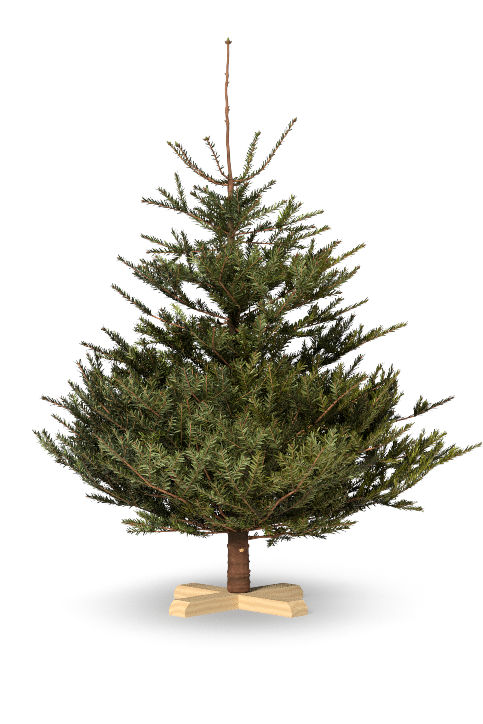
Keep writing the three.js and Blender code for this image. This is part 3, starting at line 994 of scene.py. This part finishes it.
# ---------------------------------------------------------------- trunk
LOW_WHORL = 0.196  # height of the trunk's lowest whorl above its cut
TOP_WHORL = 1.326  # and of its highest
WHORL_STEP = 0.225  # from whorl to whorl
BARK_TOP = 1.36  # where the trunk's bark ends inside the leader's
FINE_FOOT = 0.24  # up to here the rings lie closer, for the collars
KNOT_HEIGHT = 0.186  # of the pale cut knot on the front of the foot, above the stand's underside
KNOT_TURN = math.radians(-71)  # the way that it faces
KNOT_RADIUS = 0.0085
# Low broken collars on the foot: height above the cut, swelling and width.
COLLARS = ((0.148, 0.16, 0.005), (0.118, 0.09, 0.003), (0.098, 0.13, 0.0035), (0.066, 0.15, 0.005),
           (0.052, 0.10, 0.003), (0.030, 0.08, 0.004), (0.016, 0.05, 0.003))


def level_rings(centre, radius, turn, height):
    """Level rings of points at each turn, their radius away from the centre."""
    across = centre[..., 0] + radius * np.cos(turn)
    back = centre[..., 1] + radius * np.sin(turn)
    return np.stack([across, back, height + 0 * turn], -1)


def trunk_surface(trunk, bark):
    """The trunk from its cut to the top whorl, a radius by height and turn. It follows the frame's
    radius, plus uneven waves, flat plates of bark, a level ridge at each whorl, and on the foot
    low broken collars and a lipped swelling round the knot."""
    rng = np.random.default_rng(BARK_SEED)
    foot = trunk.heights[0]
    low = np.linspace(foot, foot + FINE_FOOT, 190)
    high = np.linspace(foot + FINE_FOOT, foot + BARK_TOP, 190)[1:]
    height = np.concatenate([low, high])[:, None]
    turn = circle(96)[None]
    radius = trunk.radius(height)
    x, y = np.cos(turn), np.sin(turn)
    slow = waves(rng, 4, 4 * x, 4 * y, 26 * height)
    plates = waves(rng, 8, 7 * x, 7 * y, 60 * height)
    broken = waves(rng, 5, 3 * x, 3 * y, 30 * height)
    relief = 0.045 * slow + 0.035 * np.abs(plates)
    for whorl in np.arange(foot + LOW_WHORL, foot + TOP_WHORL, WHORL_STEP):
        relief = relief + 0.10 * bell(height - whorl - 0.004 * slow, 0.011)
    for up, swell, width in COLLARS:
        ring = bell(height - foot - up - 0.005 * broken, width)
        relief = relief + swell * ring * np.clip(0.55 + 0.9 * broken, 0, 1.3)
    off = np.angle(np.exp(1j * (turn - KNOT_TURN))) * radius
    apart = np.hypot(off, 1.25 * (height - KNOT_HEIGHT))
    relief = relief + 0.16 * bell(apart - 1.25 * KNOT_RADIUS, 0.0035)
    sag = height - KNOT_HEIGHT + 0.016 - 9.0 * off ** 2
    relief = relief + 0.15 * bell(sag, 0.003) * np.exp(-(off / 0.028) ** 4)
    relief = relief * smooth(foot, foot + 0.006, height)
    radius = radius * (0.96 + relief - 0.12 * np.exp(-(height - foot) / 0.006))
    return add_tube("trunk_bark", level_rings(trunk.axis(height), radius, turn, height), bark)


def knot_surface(trunk, wood):
    """The end of a cut branch on the trunk's front, a low dome: rings round its own axis whose
    radius falls and whose height grows as the cosine and the sine of a quarter turn."""
    out = compass(KNOT_TURN)
    across = np.cross(SKY, out)
    lift = np.linspace(0, math.pi / 2, 9)[:, None]
    turn = circle(28)[None]
    spread = KNOT_RADIUS * np.cos(lift * 0.98) ** 0.6
    centre = trunk.axis(KNOT_HEIGHT) + out * (trunk.radius(KNOT_HEIGHT) - 0.003)
    rings = (centre + (0.006 * np.sin(lift))[..., None] * out
             + (spread * np.cos(turn))[..., None] * across
             + (0.85 * spread * np.sin(turn))[..., None] * SKY)
    return add_tube("cut_branch_end", rings, wood)


def leader_axis(trunk, height):
    """The trunk's axis with the leader's own slow wavering, which fades out at both its ends."""
    whorl = trunk.heights[0] + TOP_WHORL
    share = np.clip((height - whorl) / (trunk.heights[-1] - whorl), 0, 1)
    held = np.sin(math.pi * share) ** 0.8
    across = 0.0020 * np.sin(14 * share + 2.0) + 0.0012 * np.sin(37 * share)
    back = 0.0014 * np.sin(11 * share + 0.6)
    return trunk.axis(height) + np.stack([held * across, held * back, 0 * height], -1)


def leader_surface(trunk, bark):
    """The leader above the top whorl: a thin wavering shoot with small scars, a swelling under each
    bud and a thicker top, its rings level."""
    rng = np.random.default_rng(LEADER_SEED)
    whorl = trunk.heights[0] + TOP_WHORL
    top = trunk.heights[-1]
    height = np.linspace(whorl - 0.03, top - 0.016, 170)[:, None]
    turn = circle(16)[None]
    radius = trunk.radius(np.maximum(height, whorl + 0.03))
    radius = radius * (1.02 + 0.83 * smooth(whorl + 0.03, whorl, height))
    for up, _ in LEADER_BUDS:
        radius = radius * (1 + 0.3 * bell(height - trunk.heights[0] - up + 0.003, 0.006))
    radius = radius * (1 + 0.35 * smooth(top - 0.035, top - 0.02, height))
    scars = waves(rng, 6, 6 * np.cos(turn), 6 * np.sin(turn), 300 * height)
    radius = radius * (1 + 0.07 * scars)
    rings = level_rings(leader_axis(trunk, height), radius, turn, height)
    return add_tube("leader_bark", rings, bark)


# ---------------------------------------------------------------- stage
def soft_world():
    """A little even light from all round, and colours as they are."""
    scene = bpy.context.scene
    scene.view_settings.view_transform = "Standard"
    scene.cycles.use_denoising = False
    scene.cycles.filter_width = 0.8
    world = bpy.data.worlds.new("soft_light")
    world.use_nodes = True
    background = world.node_tree.nodes["Background"]
    background.inputs["Color"].default_value = WHITE
    background.inputs["Strength"].default_value = 0.14
    scene.world = world


def pale_floor():
    """Flat rings round the foot, glowing over a little plain shading. The glow is one less 0.62
    times e to the minus off cubed, where off is the stretched distance from the foot: a painted
    soft shadow round the foot, and the floor turns white a little way off."""
    ring = np.array([0.0, 0.5, 1.0, 1.5, 2.2, 3.5, 6.0, 12.0, 29.0])[:, None]
    turn = circle(STAGE_SIDES)[None]
    points = np.stack([ring * np.cos(turn), ring * np.sin(turn), 0 * ring * turn], -1)
    shader = Shader("floor", (0.8, 0.8, 0.8), Roughness=0.9, Specular_IOR_Level=0.1)
    off = shader.length(shader.place((1 / 0.36, 1 / 0.58, 0), shift=(0, -0.16, 0)))
    # Painted shadow: the glow dims round the foot.
    shade = 1 - 0.62 * math.e ** (-1 * off ** 3)
    glow = shader.node("ShaderNodeEmission", {}, {"Color": WHITE, "Strength": shade})
    plain = Signal(shader, shader.surface.outputs[0])
    both = shader.node("ShaderNodeMixShader", {}, {
        0: shader.step(off, 0.9, 2.2, 0.86, 1.0), 1: plain, 2: glow,
    })
    shader.tree.links.new(both.socket, shader.tree.nodes["Material Output"].inputs["Surface"])
    add_mesh("floor", points, grid_faces(len(ring), STAGE_SIDES), [shader.material])


def white_dome():
    """A white ball round everything, from a little under the floor up, that only the eye sees."""
    rise = np.radians(np.linspace(-12, 90, 24))[:, None]
    turn = circle(STAGE_SIDES)[None]
    points = 30 * np.stack([
        np.cos(rise) * np.cos(turn), np.cos(rise) * np.sin(turn), np.sin(rise) + 0 * turn,
    ], -1)
    white = Shader("white_surroundings", (0.0, 0.0, 0.0), Emission_Color=WHITE,
                   Emission_Strength=1.0, Specular_IOR_Level=0.0)
    faces = grid_faces(len(rise), STAGE_SIDES)
    dome = add_mesh("white_surroundings", points, faces, [white.material])
    for ray in ("diffuse", "glossy", "transmission", "shadow"):
        setattr(dome, f"visible_{ray}", False)


def lamps():
    """Three soft lamps: one high on the left, a weak one low on the right and one above."""
    for name, place, softness, power in (
        ("key_light", (-1.9, -4.0, 2.5), 0.25, 5.1),
        ("fill_light", (1.8, -4.2, 0.6), 0.5, 1.0),
        ("top_light", (-0.1, -0.6, 4.2), 0.4, 2.2),
    ):
        light = bpy.data.lights.new(name, "SUN")
        light.angle = softness
        light.energy = power
        lamp = bpy.data.objects.new(name, light)
        lamp.location = place
        lamp.rotation_mode = "QUATERNION"
        lamp.rotation_quaternion = Vector(place).to_track_quat("Z", "Y")
        bpy.context.scene.collection.objects.link(lamp)


def camera():
    """A level view along +Y. The distance and lens put VIEW_HEIGHT over the height of the frame."""
    view = bpy.data.cameras.new("camera")
    view.sensor_width = 36.0
    view.lens = view.sensor_width * VIEW_DISTANCE / VIEW_HEIGHT
    eye = bpy.data.objects.new("camera", view)
    eye.location = (0.0097, -VIEW_DISTANCE, 0.792)
    eye.rotation_euler = (math.radians(90), 0.0, 0.0)
    bpy.context.scene.collection.objects.link(eye)
    bpy.context.scene.camera = eye


# ---------------------------------------------------------------- assembly
def tier_groups(shoots, lines, triangles):
    """Each tier's boughs in as many groups as keep a group's triangles under the limit, side by
    side round the trunk. triangles is what each shoot is expected to bring."""
    for tier in TIERS:
        members = of_tier(lines, tier)
        weight = sum(triangles[shoots["bough"] == n].sum() for n in members)
        parts = max(1, math.ceil(weight / PIECE_TRIANGLES * GROUP_ROOM))
        members.sort(key=lambda n: math.atan2(lines[n].out[1], lines[n].out[0]))
        for part, group in enumerate(np.array_split(members, parts)):
            label = tier if parts == 1 else f"{tier}_{part + 1}"
            yield label, [int(n) for n in group]


def nodes_of(lines, group, kind):
    """The names of the nodes of a kind that a group's lines stand for."""
    return [name for n in group for name in lines[n].nodes if name.startswith(kind)]


def add_needles(name, shoots, shade, tone, per_metre, materials, rng):
    """A piece of needles. Each has its spray's painted shade level or the one beside it, less the
    painted shade that its layer loses, and its two upper and two lower faces each take a colour of
    the spray's tone."""
    points, faces, owner, layer = needle_kites(shoots, per_metre, rng)
    hue = tone[owner]
    least = np.where(shoots["bend"][:, 2] > OPEN_HEIGHT, 1, 0)[owner]
    level = np.clip(shade[owner] + rng.choice([-1, 0, 1], len(owner), p=NEEDLE_LUCK), 0, 3)
    upper = UPPER_ORDER[hue, np.maximum(level - UPPER_LOSS[layer], least)]
    lower = UNDER_ORDER[hue, np.maximum(level - UNDER_LOSS[layer], least)]
    choice = np.stack([upper, upper, lower, lower], 1).ravel()
    return add_mesh(name, points, faces, materials, choice)


def twig_wood(shoots, shade):
    """Which bark each side shoot has: it goes by its age, and where its spray's shade is dark, the
    darker barks are given as painted shade."""
    return np.where(shade == 0, 2, np.maximum(np.digitize(shoots["age"], [1, 3]), shade == 1))


def main():
    """Grows the crown and makes its pieces, needles, twigs and buds in groups of boughs and the
    limbs tier by tier, then the trunk's pieces and the stand's timber."""
    trunk = TrunkLine()
    lines = bough_lines(trunk)
    growth = Growth()
    for number, line in enumerate(lines):
        growth.main_bough(line, number, trunk)
    inner_branches(growth, trunk, lines)
    shoots = growth.table()

    bark = bark_material()
    limb_bark = limb_material("bough_bark")
    needle_materials = [needle_material(*item) for item in NEEDLE_COLOURS.items()]
    twig_materials = [twig_material(*item) for item in TWIG_COLOURS.items()]
    bud_materials = [twig_material(*item) for item in BUD_COLOURS.items()]

    needled = needled_length(shoots)
    per_metre = NEEDLE_COUNT / needled.sum()
    shade, tone = deal_colours(shoots, lines, trunk)
    rng = np.random.default_rng(NEEDLE_SEED)
    for label, group in tier_groups(shoots, lines, needled * per_metre * NEEDLE_TRIANGLES):
        chosen = np.isin(shoots["bough"], group)
        mine = shoots[chosen]
        piece = add_needles(f"needles_{label}", mine, shade[chosen], tone[chosen], per_metre,
                            needle_materials, rng)
        finish_piece(piece, nodes_of(lines, group, "foliage"))
        side = mine["rank"] > 0
        if side.any():
            wood = twig_wood(mine[side], shade[chosen][side])
            piece = add_tubes(f"twigs_{label}", *shoot_tubes(mine[side], 3, 2, 0.0, rng), wood,
                              twig_materials)
            finish_piece(piece)
        piece = add_tubes(f"buds_{label}", *bud_clusters(mine, rng), bud_materials)
        finish_piece(piece)

    for tier in TIERS:
        group = of_tier(lines, tier)
        thick = shoots[np.isin(shoots["bough"], group) & (shoots["rank"] == 0)]
        piece = add_tubes(f"boughs_{tier}", *shoot_tubes(thick, 8, 10, LIMB_UNEVEN, rng),
                          0 * thick["rank"], [limb_bark])
        finish_piece(piece, nodes_of(lines, group, "bough"))

    finish_piece(trunk_surface(trunk, bark), ["trunk"])
    finish_piece(leader_surface(trunk, limb_material("leader_bark", 0.74)))
    finish_piece(knot_surface(trunk, cut_wood_material()))
    finish_piece(add_tubes("buds_leader", *leader_buds(trunk, rng), bud_materials))
    for name, turn in (("stand_lower_board", 45), ("stand_upper_board", 135)):
        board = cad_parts[name].data
        board.materials.clear()
        board.materials.append(timber_material(name, math.radians(turn)))


main()
soft_world()
pale_floor()
white_dome()
lamps()
camera()
